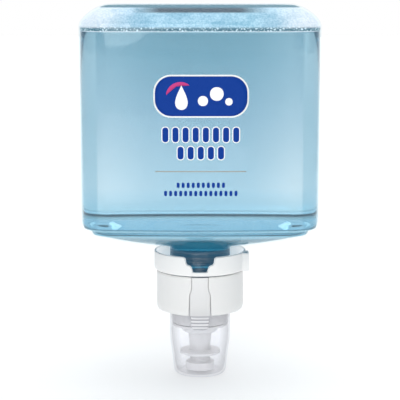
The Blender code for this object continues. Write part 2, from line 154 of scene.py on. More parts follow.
def plan(inset, corner_steps=26, side_steps=8, front_steps=14):
    """The bottle's plan at each inset: a side arc, a corner arc and a front arc a quarter, each sharing
    its tangent with the next. An inset shortens every radius, so the outlines stay parallel."""
    side = np.array([WIDTH / 2 - SIDE_RADIUS, 0.0])
    front = np.array([0.0, DEPTH / 2 - FRONT_RADIUS])
    side_reach = SIDE_RADIUS - CORNER_RADIUS
    front_reach = FRONT_RADIUS - CORNER_RADIUS
    apart = np.linalg.norm(front - side)
    along = (side_reach**2 - front_reach**2 + apart**2) / (2 * apart)
    across = math.sqrt(side_reach**2 - along**2)
    line = (front - side) / apart
    corner = side + line * along + np.array([-line[1], line[0]]) * across
    turn_one = math.atan2(corner[1], corner[0] - side[0])
    turn_two = math.atan2(corner[1] - front[1], corner[0])
    angles = np.concatenate([
        np.linspace(0, turn_one, side_steps, endpoint=False),
        np.linspace(turn_one, turn_two, corner_steps, endpoint=False),
        np.linspace(turn_two, math.pi / 2, front_steps, endpoint=False),
    ])
    counts = (side_steps, corner_steps, front_steps)
    centres = np.repeat([side, corner, front], counts, axis=0)
    radii = np.repeat([SIDE_RADIUS, CORNER_RADIUS, FRONT_RADIUS], counts)
    direction = np.stack([np.cos(angles), np.sin(angles)], axis=-1)
    reach = radii[None, :] - np.asarray(inset, float)[:, None]
    quarter = centres[None] + direction[None] * reach[..., None]
    peak = np.stack([np.zeros(len(reach)), DEPTH / 2 - np.asarray(inset, float)], axis=-1)[:, None]
    mirrored = quarter[:, :0:-1] * [-1, 1]
    half = np.concatenate([quarter, peak, mirrored], axis=1)
    return np.concatenate([half, -half], axis=1)


def bottle_rows(stations):
    """Rings of the bottle from stations (height, inset, blend, radius): the plan at the inset, mixed
    by blend with a circle of that radius, where each point keeps its bearing from the axis."""
    height, inset, blend, radius = np.asarray(stations, float).T
    flat = plan(inset)
    bearing = flat / np.linalg.norm(flat, axis=-1, keepdims=True)
    flat = flat * (1 - blend)[:, None, None] + bearing * (radius * blend)[:, None, None]
    tall = np.broadcast_to(height[:, None, None], flat.shape[:2] + (1,))
    return np.concatenate([flat, tall], axis=-1)


# Bottle outside, from the middle of its base (on top) to the neck's rim
BASE = [(202.6, 14.7, 1.0, 0), (202.6, 14.7, 0.5, 0), (202.6, 14.7, 0.16, 0), (204.0, 14.7, 0.09, 0)]
HEEL = [
    (204.0, 14.2, 0, 0), (202.3, 9.2, 0, 0), (198.6, 4.0, 0, 0), (195.0, 0.7, 0, 0), (192.6, 0.0, 0, 0),
]
RIM = [(88.8, 0.0, 0, 0), (86.4, 0.5, 0, 0), (85.5, 3.0, 0, 0), (84.9, 4.4, 0, 0), (83.6, 4.9, 0, 0)]
DOME = [(82.4, NECK_INSET, 0, 0)] + [
    (height, NECK_INSET, blend, NECK_RADIUS)
    for height, blend in ((80.0, 0.2), (77.2, 0.45), (74.6, 0.72), (72.6, 0.93))
]
NECK = [
    (height, NECK_INSET, 1, radius) for height, radius in (
        (71.4, NECK_RADIUS), (69.4, NECK_RADIUS), (69.0, BEAD_RADIUS), (67.0, BEAD_RADIUS),
        (66.6, NECK_RADIUS), (65.4, NECK_RADIUS), (65.1, 19.2), (64.3, 19.2), (64.0, NECK_RADIUS),
        (46.6, NECK_RADIUS),
    )
]


def shrunk(stations, gap):
    """Stations moved inwards by a gap: down under the base, across the wall, up over the dome."""
    moved = []
    for height, inset, blend, radius in stations:
        if height > 200:
            moved.append((height - gap, inset + 0.4 * gap, blend, radius))
        elif blend > 0:
            moved.append((height + gap, inset + 0.5 * gap, blend, radius))
        elif height < 86:
            moved.append((height + gap, inset + 0.7 * gap, blend, radius))
        else:
            moved.append((height, inset + gap, blend, radius))
    return moved


def bored(stations, radius):
    """Stations whose circle, where they have one, is given the radius of the neck's bore."""
    return [(height, inset, blend, radius if circle else 0) for height, inset, blend, circle in stations]


def cut_above(stations, level):
    """The stations below a level, with one put on the level itself."""
    kept = [s for s in stations if s[0] < level]
    above = [s for s in stations if s[0] >= level][-1]
    share = (level - kept[0][0]) / (above[0] - kept[0][0])
    first = tuple(b + (a - b) * share for a, b in zip(above, kept[0]))
    return [first, *kept]


# ---------------------------------------------------------------- materials

def colour(hex_code):
    """An sRGB hex value as linear red, green, blue and alpha."""
    channels = [int(hex_code[i:i + 2], 16) / 255 for i in (1, 3, 5)]
    return tuple(c / 12.92 if c <= 0.04045 else ((c + 0.055) / 1.055) ** 2.4 for c in channels) + (1.0,)


def add_node(tree, kind, sockets=None, stops=(), **settings):
    """Add a node. Settings fill its sockets or properties by name, stops (place, hex colour or level of
    grey) fill its ramp, and each of the sockets is then set to a value or linked to another node's
    output, where a node stands for its own first output."""
    node = tree.nodes.new(kind)
    for key, value in settings.items():
        if hasattr(node, key):
            setattr(node, key, value)
        else:
            node.inputs[key.replace("_", " ").title()].default_value = value
    if stops:
        elements = node.color_ramp.elements
        while len(elements) < len(stops):
            elements.new(0.5)
        for element, (place, value) in zip(elements, stops):
            element.position = place
            element.color = colour(value) if isinstance(value, str) else (value, value, value, 1.0)
    for socket, source in (sockets or {}).items():
        if isinstance(source, bpy.types.Node):
            source = source.outputs[0]
        if isinstance(source, bpy.types.NodeSocket):
            tree.links.new(source, node.inputs[socket])
        else:
            node.inputs[socket].default_value = source
    return node


def new_material(name, **shader_values):
    """A material with one Principled shader; the values are set on the shader's own sockets."""
    material = bpy.data.materials.new(name)
    material.use_nodes = True
    tree = material.node_tree
    shader = tree.nodes["Principled BSDF"]
    for key, value in shader_values.items():
        shader.inputs[key.replace("_", " ")].default_value = value
    return material, tree, shader


def object_axis(tree, axis, low, high):
    """0 to 1 as the object's own coordinate goes from low to high, in millimetres."""
    place = add_node(tree, "ShaderNodeTexCoord")
    split = add_node(tree, "ShaderNodeSeparateXYZ", {"Vector": place.outputs["Object"]})
    sockets = {"Value": split.outputs[axis], "From Min": low * MM, "From Max": high * MM}
    return add_node(tree, "ShaderNodeMapRange", sockets)


def make_thin_wall(tree, shader, facing, tint, least, most):
    """An even thin wall, which doesn't bend light: the tint is what goes straight through, and the
    glossy shader mirrors least + (most - least) (1 - cos)^5, where facing is 1 - cos."""
    steep = add_node(tree, "ShaderNodeMath", {0: facing, 1: 5.0}, operation="POWER")
    mirrored = add_node(tree, "ShaderNodeMapRange", {"Value": steep}, to_min=least, to_max=most)
    through = add_node(tree, "ShaderNodeBsdfTransparent", {"Color": tint})
    wall = add_node(tree, "ShaderNodeMixShader", {0: mirrored, 1: through, 2: shader})
    tree.links.new(wall.outputs[0], tree.nodes["Material Output"].inputs["Surface"])


def clear_pet():
    """Blow-moulded PET: a thin wall with a stretched wall's ripple, whose gloss is kept low because the
    soap behind it mirrors too."""
    material, tree, shader = new_material(
        "blow_moulded_clear_PET", Base_Color=colour("#FFFFFF"), Metallic=1.0, Roughness=0.03)
    place = add_node(tree, "ShaderNodeTexCoord")
    ripple = add_node(
        tree, "ShaderNodeTexNoise", {"Vector": place.outputs["Object"]}, scale=45.0, detail=1.0)
    bump = add_node(tree, "ShaderNodeBump", {"Height": ripple}, strength=0.05, distance=0.001)
    tree.links.new(bump.outputs["Normal"], shader.inputs["Normal"])
    tilt = add_node(tree, "ShaderNodeLayerWeight", {"Normal": bump}, blend=0.5)
    make_thin_wall(tree, shader, tilt.outputs["Facing"], colour("#F9FCFD"), 0.03, 0.14)
    return material


def blue_soap():
    """Clear blue liquid soap, refracting nearly as water does. Its base colour is painted with light and
    shade by height: darkest in the neck, greyer under the froth and palest low in the body. At its level it
    is untinted. The thick middle is painted deeper than the sides, the sides and the moulded corners carry
    painted light in upright bands, and the foot's bend carries painted shade as two dark lines in front and a
    dark band at the back. A weak glow, bluest in the neck, is painted light for the light that it scatters."""
    material, tree, shader = new_material(
        "clear_blue_liquid_soap", Roughness=0.0, IOR=1.34, Transmission_Weight=1.0)
    tall = object_axis(tree, "Z", 60.0, 192.0)
    # Painted light and shade by height: dark stops for the neck, pale low in the body, greyer under the
    # froth.
    neck = [(0.0, "#04303F"), (0.152, "#06384A")]
    level = [(0.982, "#FFFFFF")]
    middle = add_node(tree, "ShaderNodeValToRGB", {"Fac": tall}, stops=[
        *neck, (0.17, "#9CD2E6"), (0.29, "#D4E7F0"), (0.63, "#A9C5D4"), (0.87, "#86B4C3"),
        (0.98, "#78A9B8"), *level,
    ])
    # Painted highlight: the sides turn white low in the body.
    side = add_node(tree, "ShaderNodeValToRGB", {"Fac": tall}, stops=[
        *neck, (0.17, "#5B93A8"), (0.205, "#A8DAEC"), (0.29, "#FFFFFF"), (0.63, "#C6D9E3"),
        (0.98, "#9DC3D0"), *level,
    ])
    # Painted light: upright bands at the moulded corners.
    corner = add_node(tree, "ShaderNodeValToRGB", {"Fac": tall}, stops=[
        *neck, (0.17, "#8CC0D2"), (0.29, "#B4D2DE"), (0.63, "#AFCDD8"), (0.98, "#E2F0F4"), *level,
    ])
    wide = object_axis(tree, "X", -65.0, 65.0)
    # Masks across the width for the painted deeper middle, the paler sides and the corner bands.
    beside = add_node(tree, "ShaderNodeValToRGB", {"Fac": wide}, stops=[
        (0.10, 0.85), (0.18, 0.6), (0.28, 0.2), (0.40, 0.0), (0.60, 0.0), (0.71, 0.15), (0.81, 0.6),
        (0.88, 1.0),
    ])
    edge = add_node(tree, "ShaderNodeValToRGB", {"Fac": wide}, stops=[
        (0.015, 0.5), (0.03, 1.0), (0.085, 1.0), (0.095, 0.0), (0.905, 0.0), (0.915, 1.0), (0.97, 1.0),
        (0.985, 0.5),
    ])
    body = add_node(tree, "ShaderNodeMix", {0: beside, 6: middle, 7: side}, data_type="RGBA")
    whole = add_node(tree, "ShaderNodeMix", {0: edge, 6: body.outputs[2], 7: corner}, data_type="RGBA")
    # Painted shade: two dark lines in front and a dark band at the back, where the foot bends.
    near_bend_shade = add_node(tree, "ShaderNodeValToRGB", {"Fac": tall}, stops=[
        (0.184, "#F6F0EF"), (0.1866, "#7FAABA"), (0.190, "#F6F0EF"), (0.2035, "#F6F0EF"),
        (0.2055, "#3E7486"), (0.2085, "#3E7486"), (0.2105, "#F6F0EF"),
    ])
    far_bend_shade = add_node(tree, "ShaderNodeValToRGB", {"Fac": tall}, stops=[
        (0.1820, "#F6F0EF"), (0.1855, "#020E15"), (0.1985, "#020E15"), (0.2005, "#F6F0EF"),
    ])
    deep = object_axis(tree, "Y", -0.5, 0.5)
    bend = add_node(tree, "ShaderNodeMix", {0: deep, 6: near_bend_shade, 7: far_bend_shade}, data_type="RGBA")
    lined = add_node(tree, "ShaderNodeMix", {0: 1.0, 6: whole.outputs[2], 7: bend.outputs[2]},
                     data_type="RGBA", blend_type="MULTIPLY")
    tree.links.new(lined.outputs[2], shader.inputs["Base Color"])
    # Painted light: a weak glow, bluest in the neck.
    glow = add_node(tree, "ShaderNodeValToRGB", {"Fac": tall}, stops=[
        (0.0, "#0A3448"), (0.10, "#0C3A50"), (0.16, "#1C333D"), (1.0, "#1C333D"),
    ])
    tree.links.new(glow.outputs["Color"], shader.inputs["Emission Color"])
    shader.inputs["Emission Strength"].default_value = 1.0
    absorption = add_node(
        tree, "ShaderNodeVolumeAbsorption", {"Color": (0.12, 0.62, 0.78, 1.0)}, density=4.5)
    tree.links.new(absorption.outputs["Volume"], tree.nodes["Material Output"].inputs["Volume"])
    return material


def soap_froth():
    """Fine wet froth: cells of about 1.1 mm with pale walls. Painted light whitens it towards the sides and
    corners and on its underside. Blue soap shows at its foot. Where it meets the base it carries painted
    shade in the soap's blue, darkest along the middle of the base's front and back edges. Most of its
    brightness is painted light: the whole tone glows at strength 0.88, standing for the light that froth
    passes on from cell to cell, and its diffuse colour is 0.22 of that tone."""
    material, tree, shader = new_material("wet_soap_froth", Roughness=0.35, Specular_IOR_Level=0.15)
    place = add_node(tree, "ShaderNodeTexCoord").outputs["Object"]
    cells = add_node(tree, "ShaderNodeTexVoronoi", {"Vector": place}, scale=900.0)
    walls = add_node(
        tree, "ShaderNodeTexVoronoi", {"Vector": place}, scale=700.0, feature="DISTANCE_TO_EDGE")
    patches = add_node(tree, "ShaderNodeTexNoise", {"Vector": place}, scale=110.0, detail=4.0)
    wide = object_axis(tree, "X", -65.0, 65.0)
    tall = object_axis(tree, "Z", 189.0, 204.0)
    deep = object_axis(tree, "Y", -44.0, 44.0)
    # Painted light: pale cyan across the middle, whiter towards the sides.
    across = add_node(tree, "ShaderNodeValToRGB", {"Fac": wide}, stops=[
        (0.06, "#F1F5FC"), (0.17, "#EDF3FB"), (0.30, "#C4E4F3"), (0.70, "#C0E3F1"), (0.85, "#E4EFF8"),
        (0.94, "#EEF3F9"),
    ])
    pale_cells = add_node(tree, "ShaderNodeValToRGB", {"Fac": cells}, stops=[
        (0.0, "#FFFFFF"), (0.35, "#EEF7FC"), (0.8, "#B9D9E6"),
    ])
    pale_patches = add_node(tree, "ShaderNodeValToRGB", {"Fac": patches}, stops=[
        (0.38, "#B5D6E4"), (0.55, "#F4FAFF"),
    ])
    # Painted light: whiter at the corners.
    at_corners = add_node(tree, "ShaderNodeValToRGB", {"Fac": wide}, stops=[
        (0.09, 0.75), (0.20, 0.0), (0.80, 0.0), (0.91, 0.75),
    ])
    white = add_node(tree, "ShaderNodeValToRGB", {"Fac": cells}, stops=[(0.0, "#FBFDFF"), (0.8, "#E6EEFA")])
    at_foot = add_node(tree, "ShaderNodeValToRGB", {"Fac": tall}, stops=[
        (0.082, 0.0), (0.09, 1.0), (0.17, 1.0), (0.25, 0.0),
    ])
    wet_walls = add_node(tree, "ShaderNodeValToRGB", {"Fac": walls}, stops=[
        (0.10, "#3F7286"), (0.30, "#D5EBF5"),
    ])
    # Painted shade in the soap's blue where the froth meets the base.
    at_base = add_node(tree, "ShaderNodeValToRGB", {"Fac": tall}, stops=[(0.875, 0.0), (0.89, 1.0)])
    soap = add_node(tree, "ShaderNodeValToRGB", {"Fac": tall}, stops=[(0.87, "#20506A"), (0.90, "#4A7E92")])
    high = add_node(tree, "ShaderNodeValToRGB", {"Fac": tall}, stops=[(0.68, 0.0), (0.74, 1.0)])
    near_faces = add_node(tree, "ShaderNodeValToRGB", {"Fac": deep}, stops=[
        (0.15, 1.0), (0.17, 0.0), (0.83, 0.0), (0.85, 1.0),
    ])
    along_middle = add_node(tree, "ShaderNodeValToRGB", {"Fac": wide}, stops=[
        (0.22, 0.0), (0.34, 1.0), (0.66, 1.0), (0.78, 0.0),
    ])
    near_base = add_node(tree, "ShaderNodeMath", {0: high, 1: near_faces}, operation="MULTIPLY")
    at_edges = add_node(tree, "ShaderNodeMath", {0: near_base, 1: along_middle}, operation="MULTIPLY")
    # Painted shade: a dark teal band along the middle of the base's front and back edges.
    painted_band_shade = add_node(tree, "ShaderNodeValToRGB", {"Fac": tall}, stops=[
        (0.84, "#063A52"), (0.90, "#3A7890"),
    ])
    # Painted light: the froth's underside near white.
    beneath = add_node(tree, "ShaderNodeValToRGB", {"Fac": tall}, stops=[(0.081, 1.0), (0.084, 0.0)])
    underside_painted_light = add_node(tree, "ShaderNodeValToRGB", {"Fac": patches}, stops=[
        (0.38, "#F2FAFF"), (0.55, "#FFFFFF"),
    ])
    tone = across.outputs["Color"]
    for mode, share, layer in (
        ("MULTIPLY", 0.75, pale_cells), ("MULTIPLY", 0.8, pale_patches), ("MIX", at_corners, white),
        ("MIX", at_foot, wet_walls), ("MIX", at_base, soap), ("MIX", at_edges, painted_band_shade),
        ("MIX", beneath, underside_painted_light),
    ):
        sockets = {0: share, 6: tone, 7: layer}
        tone = add_node(tree, "ShaderNodeMix", sockets, data_type="RGBA", blend_type=mode).outputs[2]
    # Painted light: the froth's whole tone glows.
    tree.links.new(tone, shader.inputs["Emission Color"])
    shader.inputs["Emission Strength"].default_value = 0.88
    lit = add_node(
        tree, "ShaderNodeMix", {0: 0.22, 6: (0.0, 0.0, 0.0, 1.0), 7: tone}, data_type="RGBA")
    tree.links.new(lit.outputs[2], shader.inputs["Base Color"])
    bump = add_node(
        tree, "ShaderNodeBump", {"Height": cells}, strength=0.5, distance=0.0006, invert=True)
    tree.links.new(bump.outputs["Normal"], shader.inputs["Normal"])
    return material


def white_moulded():
    """Injection-moulded white polypropylene: satin, with a very fine spark-eroded grain."""
    material, tree, shader = new_material(
        "white_moulded_polypropylene", Base_Color=colour("#EDEDEC"), Roughness=0.38, IOR=1.49)
    place = add_node(tree, "ShaderNodeTexCoord")
    grain = add_node(
        tree, "ShaderNodeTexNoise", {"Vector": place.outputs["Object"]}, scale=2200.0, detail=2.0)
    bump = add_node(tree, "ShaderNodeBump", {"Height": grain}, strength=0.08, distance=0.0001)
    tree.links.new(bump.outputs["Normal"], shader.inputs["Normal"])
    return material


def ribbed_white():
    """The white polypropylene on the release tab, with painted shade that greys it towards its ribs and under
    its curled tip, and on each rib a painted highlight on its crest and painted shade in its groove."""
    material, tree, shader = new_material(
        "white_moulded_polypropylene_ribs", Base_Color=colour("#EDEDEC"), Roughness=0.38, IOR=1.49)
    tall = object_axis(tree, "Z", TAB_FOOT, TAB_ROOT)
    # Painted shade under the curled tip; on each rib a painted highlight on the crest and painted shade in
    # the groove.
    stops = [(0.0, "#C9C9CE"), (0.03, "#B9B9BF")]
    for number in range(RIBS):
        foot = (RIB_TOP - RIB_PITCH * (RIBS - number) - TAB_FOOT) / (TAB_ROOT - TAB_FOOT)
        stops += [
            (foot + 0.004, "#A9A9B0"), (foot + 0.028, "#FFFFFF"), (foot + 0.048, "#E8E8EC"),
            (foot + 0.060, "#A9A9B0"),
        ]
    # Painted shade: greyer down the tab towards its ribs.
    tone = add_node(tree, "ShaderNodeValToRGB", {"Fac": tall}, stops=[
        *stops, (0.285, "#D9D9DA"), (0.45, "#E2E2E2"), (0.9, "#EAEAEA"),
    ])
    tree.links.new(tone.outputs["Color"], shader.inputs["Base Color"])
    return material


def ring_white():
    """The white polypropylene of the lock ring, with painted light: its white is lighter than the collar's,
    against the bottle's shadow on it, and inside it the light that comes down through the clear soap, which
    the bottle's shadow leaves out, is stood for by a weak glow."""
    # Painted light: a lighter white than the collar's.
    material, tree, shader = new_material(
        "white_moulded_polypropylene_ring", Base_Color=colour("#F6F6F5"), Roughness=0.38, IOR=1.49)
    place = add_node(tree, "ShaderNodeTexCoord")
    sockets = {0: place.outputs["Object"], 1: (1.0, 1.0, 0.0)}
    flat = add_node(tree, "ShaderNodeVectorMath", sockets, operation="MULTIPLY")
    reach = add_node(tree, "ShaderNodeVectorMath", {0: flat}, operation="LENGTH")
    # Painted light: a weak glow inside the ring's top.
    inside = add_node(tree, "ShaderNodeMapRange", {"Value": reach.outputs["Value"]},
                      from_min=0.0246, from_max=0.0240, to_max=0.55)
    tall = object_axis(tree, "Z", 61.6, 63.0)
    glow = add_node(tree, "ShaderNodeMath", {0: inside, 1: tall}, operation="MULTIPLY")
    tree.links.new(glow.outputs["Value"], shader.inputs["Emission Strength"])
    shader.inputs["Emission Color"].default_value = colour("#FAFBFB")
    return material


def natural_moulded():
    """Unpigmented moulded polypropylene: milky and slightly see-through."""
    material, tree, shader = new_material(
        "natural_moulded_polypropylene", Base_Color=colour("#EAEAEB"), Roughness=0.32, IOR=1.49,
        Subsurface_Weight=0.6, Subsurface_Radius=(1.0, 1.0, 1.0), Subsurface_Scale=0.003)
    place = add_node(tree, "ShaderNodeTexCoord")
    flow = add_node(
        tree, "ShaderNodeTexNoise", {"Vector": place.outputs["Object"]}, scale=300.0, detail=2.0)
    rough = add_node(tree, "ShaderNodeValToRGB", {"Fac": flow}, stops=[(0.3, 0.26), (0.7, 0.40)])
    tree.links.new(rough.outputs["Color"], shader.inputs["Roughness"])
    return material


def clear_moulded():
    """Clarified moulded polypropylene: a thin wall with flow marks along it, and a faint haze that greys
    what is seen along the wall."""
    material, tree, shader = new_material(
        "clarified_moulded_polypropylene", Base_Color=colour("#FFFFFF"), Metallic=1.0, Roughness=0.08)
    place = add_node(tree, "ShaderNodeTexCoord")
    sockets = {"Vector": place.outputs["Object"], "Scale": (1.0, 1.0, 0.12)}
    stretch = add_node(tree, "ShaderNodeMapping", sockets)
    flow = add_node(tree, "ShaderNodeTexNoise", {"Vector": stretch}, scale=260.0, detail=2.0)
    rough = add_node(tree, "ShaderNodeValToRGB", {"Fac": flow}, stops=[(0.35, 0.04), (0.7, 0.14)])
    tree.links.new(rough.outputs["Color"], shader.inputs["Roughness"])
    facing = add_node(tree, "ShaderNodeLayerWeight", blend=0.5).outputs["Facing"]
    haze = add_node(tree, "ShaderNodeValToRGB", {"Fac": facing}, stops=[
        (0.0, "#FEFEFF"), (0.27, "#FDFDFE"), (0.52, "#F6F6F7"), (1.0, "#EEEEF0"),
    ])
    make_thin_wall(tree, shader, facing, haze, 0.04, 0.44)
    return material


def soft_seal():
    """Moulded silicone: pale, matt and slightly waxy."""
    return new_material(
        "moulded_silicone_seal", Base_Color=colour("#C9CDD1"), Roughness=0.55, Subsurface_Weight=0.2,
        Subsurface_Scale=0.001)[0]


def woven_screen():
    """Woven polyamide mesh: threads about 0.4 mm apart, wider than the real ones so that they show."""
    material, tree, shader = new_material("woven_polyamide_mesh", Roughness=0.5)
    place = add_node(tree, "ShaderNodeTexCoord")
    threads = add_node(tree, "ShaderNodeTexChecker", {
        "Vector": place.outputs["Object"], "Color1": colour("#E4E6E8"), "Color2": colour("#9EA4A9"),
    }, scale=2500.0)
    tree.links.new(threads.outputs["Color"], shader.inputs["Base Color"])
    return material


def bright_ball():
    """Polished stainless steel."""
    return new_material(
        "polished_stainless_ball", Base_Color=colour("#C8CACC"), Metallic=1.0, Roughness=0.15)[0]


def screen_ink(name, hex_code):
    """Screen-printed ink on the bottle: even, opaque and nearly matt."""
    material, tree, shader = new_material(name, Roughness=0.45, Specular_IOR_Level=0.1)
    base = colour(hex_code)
    lighter = tuple(min(1.0, c * 1.12 + 0.004) for c in base[:3]) + (1.0,)
    place = add_node(tree, "ShaderNodeTexCoord")
    grain = add_node(
        tree, "ShaderNodeTexNoise", {"Vector": place.outputs["Object"]}, scale=900.0, detail=2.0)
    tone = add_node(tree, "ShaderNodeMix", {0: grain, 6: base, 7: lighter}, data_type="RGBA")
    tree.links.new(tone.outputs[2], shader.inputs["Base Color"])
    return material


PET = clear_pet()
SOAP = blue_soap()
FROTH = soap_froth()
WHITE = white_moulded()
RIBBED = ribbed_white()
RING = ring_white()
NATURAL = natural_moulded()
CLEAR_PP = clear_moulded()
SEAL = soft_seal()
SCREEN = woven_screen()
BALL = bright_ball()


# ---------------------------------------------------------------- pieces

def stands_for(piece, node, body):
    """Put a piece in the place of a CAD node, which is hidden: the piece rides the node's body."""
    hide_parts(node)
    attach(piece, body)
    return piece


def make_bottle():
    """The wall's outside, from base to neck rim, then its inside back up to the base."""
    body = [*BASE, *HEEL, *RIM, *DOME]
    outside = smooth_corners([*body, *NECK], 6.0, steps=7)
    neck = [(71.4, NECK_INSET, 1, NECK_BORE), (46.6, NECK_INSET, 1, NECK_BORE)]
    lining = bored(shrunk(body, WALL), NECK_BORE)
    inside = smooth_corners([*lining, *neck], 6.0, steps=7)[::-1]
    rows = np.concatenate([bottle_rows(outside), bottle_rows(inside)])
    bottle = skin("bottle_wall", [(rows, ("wrap",))], PET)
    stands_for(bottle, "bottle", "pack")


def make_soap():
    """The soap's skin: its level, down inside the wall and dome, and down the neck round the pump."""
    bore = NECK_BORE - FILM
    wall = cut_above(bored(shrunk([*HEEL, *RIM, *DOME], WALL + FILM), bore), LIQUID_LEVEL)
    top = [(LIQUID_LEVEL, wall[0][1], blend, 0) for blend in (1.0, 0.5, 0.05)]
    neck = [
        (height, NECK_INSET, 1, radius)
        for height, radius in ((71.4, bore), (47.0, bore), (47.0, 8.4), (61.6, 8.4), (61.6, 0.01))
    ]
    outline = smooth_corners([*top, *wall, *neck], 6.0, steps=7)
    soap = skin("soap", [(bottle_rows(outline), ("wrap",))], SOAP)
    stands_for(soap, "soap_liquid", "pack")


def make_froth():
    """The froth's skin: under the base, down inside the heel, and back to the middle at its foot."""
    body = shrunk([*BASE, *HEEL], WALL + FILM)
    foot = [(LIQUID_LEVEL + 0.2, body[-1][1], blend, 0) for blend in (0, 0.4, 1.0)]
    outline = smooth_corners([*body, *foot], 3.0, steps=6)
    froth = skin("froth", [(bottle_rows(outline), ("wrap",))], FROTH)
    stands_for(froth, "soap_foam", "pack")


def make_lock_ring():
    """The ring's section carried round Z: radius r and height h + w * top(x), where w is 1 on the rim,
    0 elsewhere, and top(x) is the rim's height, which drops in steps at the front notch. A lip under
    the notch stands 0.3 mm proud. The key is a block with rounded edges, let into the right side."""
    front = math.asin(10 / RING_RADIUS)
    angle = np.concatenate([
        np.linspace(-front, front, 240, endpoint=False),
        np.linspace(front, 2 * math.pi - front, 220, endpoint=False),
    ]) - math.pi / 2
    section = smooth_corners([
        (RING_RADIUS, -0.9, 1), (RING_RADIUS, 0.0, 1), (23.5, 0.0, 1), (23.5, -0.7, 1), (23.5, 60.7, 0),
        (18.9, 60.6, 0), (18.9, 58.9, 0), (23.4, 58.9, 0), (24.8, 59.5, 0), (RING_RADIUS, 60.6, 0),
    ], 0.35, closed=True)
    x = RING_RADIUS * np.cos(angle)
    distance = np.where(np.sin(angle) < 0, np.abs(x), 25.0)
    across = (3.4, 4.0, 4.8, 5.6, 7.2, 7.9, 8.3, 9.4)
    top = np.interp(distance, across, (61.5, 61.9, 64.2, 65.0, 65.4, 66.4, 68.9, 69.5))
    height = section[:, 1, None] + section[:, 2, None] * top[None, :]
    lip = 0.3 * (1 - ease(distance, 4.1, 4.4))[None, :] * (section[:, 0, None] > 24.6) * (height < 61.7)
    radius = section[:, 0, None] + lip
    ring = np.stack([radius * np.cos(angle), radius * np.sin(angle), height], axis=-1)
    block = smooth_corners([(26.7, -9.8), (26.7, -1.8), (22.0, -1.8), (22.0, -9.8)], 0.5, closed=True)
    levels = np.array([69.3, 69.22, 69.0, 68.7, 59.9, 59.6, 59.38, 59.3])
    shrink = 1 - np.array([0.10, 0.04, 0.01, 0, 0, 0.01, 0.04, 0.10])
    middle = block.mean(axis=0)
    flat = middle + (block - middle)[None] * shrink[:, None, None]
    key = np.concatenate([flat, np.broadcast_to(levels[:, None, None], flat.shape[:2] + (1,))], axis=-1)
    ring = skin("ring_with_key", [(ring, ("wrap", "loop")), (key, ("wrap", "ends"))], RING)
    stands_for(ring, "lock_ring", "pack")


def tab_half_width(height):
    """Half the release tab's width: narrow at its root, wide down the collar, narrower on its ribs."""
    wide = 4.45 + 1.12 * (1 - ease(height, 48.0, 52.5))
    lower = 4.9 - 0.5 * (1 - ease(height, 30.5, 34.0)) - 1.9 * (1 - ease(height, 28.0, 30.5)) ** 2
    return lower + (wide - lower) * ease(height, 36.3, 37.0)


def make_collar():
    """Outer wall: an open ring whose cut edges follow the tab, so its angle runs from d to 2 pi - d with
    sin d = half slot / radius. The radius is rounded by ellipses at both rims. The web that lifts the
    pump and the sleeve round the neck are turned inside it, drawn in to 20.7 mm behind the tab, which
    is pressed in there."""
    height = np.concatenate([
        np.linspace(58.5, 57.3, 8), np.linspace(57.0, 40.6, 42), np.linspace(40.2, 37.0, 16),
    ])
    top = np.clip((height - 57.3) / 1.2, 0, 1)
    foot = np.clip((40.2 - height) / 3.2, 0, 1)
    outer = COLLAR_RADIUS - 1.1 * (1 - np.sqrt(1 - top**2)) - 1.3 * (1 - np.sqrt(1 - foot**2))
    inner = 22.2 - 0.4 * np.clip((41.2 - height) / 4.2, 0, 1)
    radius = np.concatenate([outer, inner[::-1]])
    tall = np.concatenate([height, height[::-1]])
    slot = tab_half_width(tall) + 0.16 + 0.34 * (1 - ease(tall, 37.0, 50.0))
    start = np.arcsin(slot / radius)[:, None]
    angle = start + np.linspace(0, 1, 300)[None, :] * (2 * math.pi - 2 * start) - math.pi / 2
    wall = np.stack([
        radius[:, None] * np.cos(angle), radius[:, None] * np.sin(angle),
        np.broadcast_to(tall[:, None], angle.shape),
    ], axis=-1)
    web, closing = turned_ring([
        (21.1, 42.8), (21.1, 57.9), (20.2, 57.9), (20.2, 42.8), (15.9, 42.8), (15.9, 41.2), (22.1, 41.2),
        (22.1, 42.8),
    ], 0.2)
    reach = np.linalg.norm(web[..., :2], axis=-1)
    behind_tab = (1 - ease(np.abs(web[..., 0]), 6.0, 6.8)) * (web[..., 1] < 0)
    web[..., :2] *= (1 - behind_tab * np.clip(1 - 20.7 / reach, 0, None))[..., None]
    collar = skin("screw_collar", [(wall, ("loop", "slot")), (web, closing)], WHITE)
    stands_for(collar, "collar", "pack")


def make_release_tab():
    """A strip that follows the collar: x = u * half width, y = -sqrt(r^2 - x^2), thickness 1.5 mm. Below
    the collar the face leans in by a square law, carries four ribs like shallow roofs, and curls under."""
    height = np.concatenate([np.linspace(58.3, 37.6, 50), np.linspace(37.5, 28.5, 110)])
    drop = np.clip(RIB_TOP - height, 0, None)
    lean = 0.10 * (drop / RIB_PITCH) ** 2 + 1.6 * (1 - ease(height, 28.3, 30.2)) ** 2
    phase = (drop / RIB_PITCH) % 1.0
    roof = np.interp(phase, (0.0, 0.50, 0.62, 1.0), (0.0, 1.0, 0.0, 0.0)) * (height < 36.85) * (height > 29.6)
    face = COLLAR_RADIUS - 0.1 - lean - 0.6 * ease(drop, 0.0, 0.2) + 0.95 * roof
    back = np.maximum(22.3 - 0.9 * lean - 1.0 * ease(36.0 - height, 0.0, 5.0), 19.1)
    across = np.linspace(-1, 1, 33)
    rounding = 0.3 * np.clip((np.abs(across) - 0.9) / 0.1, 0, 1) ** 2
    u = np.concatenate([across, across[::-1]])[None, :]
    radius = np.concatenate([
        face[:, None] - rounding[None, :], back[:, None] + 0.5 * rounding[None, ::-1],
    ], axis=1)
    x = u * tab_half_width(height)[:, None]
    rows = np.stack([x, -np.sqrt(radius**2 - x**2), np.broadcast_to(height[:, None], x.shape)], axis=-1)
    tab = skin("spring_tab", [(rows, ("wrap", "ends"))], RIBBED)
    stands_for(tab, "release_tab", "tab")


